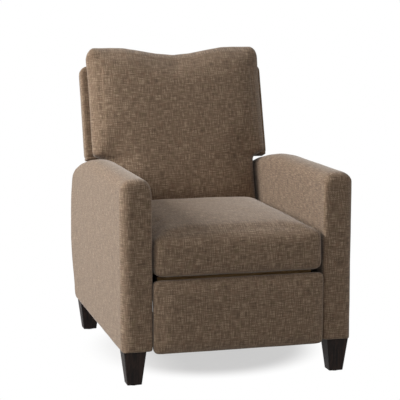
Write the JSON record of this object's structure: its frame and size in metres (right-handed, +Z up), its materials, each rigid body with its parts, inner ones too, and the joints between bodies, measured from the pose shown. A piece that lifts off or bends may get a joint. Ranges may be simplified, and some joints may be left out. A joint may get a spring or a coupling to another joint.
{
  "type": "recliner",
  "caption": "Push-back recliner with rounded upholstered arms, a boxed seat cushion, a winged reclining back, a folding footrest and tapered wooden legs.",
  "frame": {"origin": "on the floor, in the middle of the chair's width and depth", "axes": "+Z up, -Y towards the front of the chair, X across its width, zero midway between the arms"},
  "size_m": [0.762, 0.9662, 1.0276],
  "materials": {
    "tweed": "brown-taupe slub-woven upholstery cloth",
    "webbing": "woven jute webbing",
    "espresso_wood": "near-black espresso stain, satin lacquer",
    "hardwood": "planed kiln-dried hardwood, unfinished",
    "plywood": "sanded birch plywood",
    "dark_steel": "dark grey enamel on pressed steel",
    "zinc_steel": "zinc-plated steel",
    "nylon": "black moulded nylon"
  },
  "bodies": {
    "chassis": {"left_arm_cover": "tweed", "left_arm_front_post": "hardwood", "left_arm_rear_post": "hardwood", "left_arm_panel": "plywood", "left_arm_top_rail": "hardwood", "right_arm_cover": "tweed", "right_arm_front_post": "hardwood", "right_arm_rear_post": "hardwood", "right_arm_panel": "plywood", "right_arm_top_rail": "hardwood", "front_left_leg": "espresso_wood", "front_left_leg_glide": "nylon", "front_left_leg_bolt": "zinc_steel", "front_right_leg": "espresso_wood", "front_right_leg_glide": "nylon", "front_right_leg_bolt": "zinc_steel", "rear_left_leg": "espresso_wood", "rear_left_leg_glide": "nylon", "rear_left_leg_bolt": "zinc_steel", "rear_right_leg": "espresso_wood", "rear_right_leg_glide": "nylon", "rear_right_leg_bolt": "zinc_steel", "front_cross_rail": "hardwood", "rear_cross_rail": "hardwood", "rear_apron": "tweed", "left_slide_channel": "dark_steel", "right_slide_channel": "dark_steel"},
    "seat": {"left_seat_plate": "dark_steel", "right_seat_plate": "dark_steel", "left_slide_bar": "nylon", "right_slide_bar": "nylon", "seat_front_rail": "hardwood", "seat_rear_rail": "hardwood", "seat_webbing": "webbing", "seat_cushion": "tweed"},
    "back": {"left_back_post": "hardwood", "right_back_post": "hardwood", "left_wing_block": "hardwood", "right_wing_block": "hardwood", "left_back_bracket": "dark_steel", "right_back_bracket": "dark_steel", "back_top_rail": "hardwood", "back_bottom_rail": "hardwood", "back_webbing": "webbing", "back_cushion": "tweed", "outside_back": "tweed"},
    "drive_links": {"left_drive_link": "dark_steel", "right_drive_link": "dark_steel", "knee_tube": "zinc_steel"},
    "carrier_links": {"left_carrier_link": "dark_steel", "right_carrier_link": "dark_steel"},
    "guide_links": {"left_guide_link": "dark_steel", "right_guide_link": "dark_steel"},
    "control_links": {"left_control_link": "dark_steel", "right_control_link": "dark_steel"},
    "footrest": {"left_footrest_bracket": "dark_steel", "right_footrest_bracket": "dark_steel", "footrest_board": "plywood", "footrest_pad": "tweed"}
  },
  "joints": [
    {"name": "seat_slide", "type": "slide", "parent": "chassis", "child": "seat", "axis": [0, -0.9962, 0.0872], "range_m": [0, 0.0161]},
    {"name": "back_recline", "type": "hinge", "parent": "seat", "child": "back", "pos_m": [0, 0.29194, 0.392], "axis": [-1, 0, 0], "range_deg": [0, 22]},
    {"name": "footrest_drive", "type": "hinge", "parent": "seat", "child": "drive_links", "pos_m": [0, -0.36007, 0.27], "axis": [-1, 0, 0], "range_deg": [0, 120.31]},
    {"name": "footrest_carrier", "type": "hinge", "parent": "drive_links", "child": "carrier_links", "pos_m": [0, -0.28507, 0.125], "axis": [1, 0, 0], "range_deg": [0, 130.64]},
    {"name": "footrest_tilt", "type": "hinge", "parent": "carrier_links", "child": "footrest", "pos_m": [0, -0.40607, 0.225], "axis": [-1, 0, 0], "range_deg": [0, 94.38]},
    {"name": "footrest_guide", "type": "hinge", "parent": "seat", "child": "guide_links", "pos_m": [0, -0.38677, 0.2964], "axis": [-1, 0, 0], "range_deg": [0, 116.32]},
    {"name": "footrest_control", "type": "hinge", "parent": "drive_links", "child": "control_links", "pos_m": [0, -0.3031, 0.15986], "axis": [1, 0, 0], "range_deg": [0, 134.91]}
  ],
  "couplings": [
    {"joint": "seat_slide", "follows": "back_recline", "m_per_rad": 0.04167},
    {"joint": "footrest_drive", "follows": "back_recline", "ratio": 5.4664},
    {"joint": "footrest_carrier", "follows": "back_recline", "ratio": 5.9359},
    {"joint": "footrest_tilt", "follows": "back_recline", "ratio": 4.2877},
    {"joint": "footrest_guide", "follows": "back_recline", "ratio": 5.2849},
    {"joint": "footrest_control", "follows": "back_recline", "ratio": 6.1302}
  ]
}
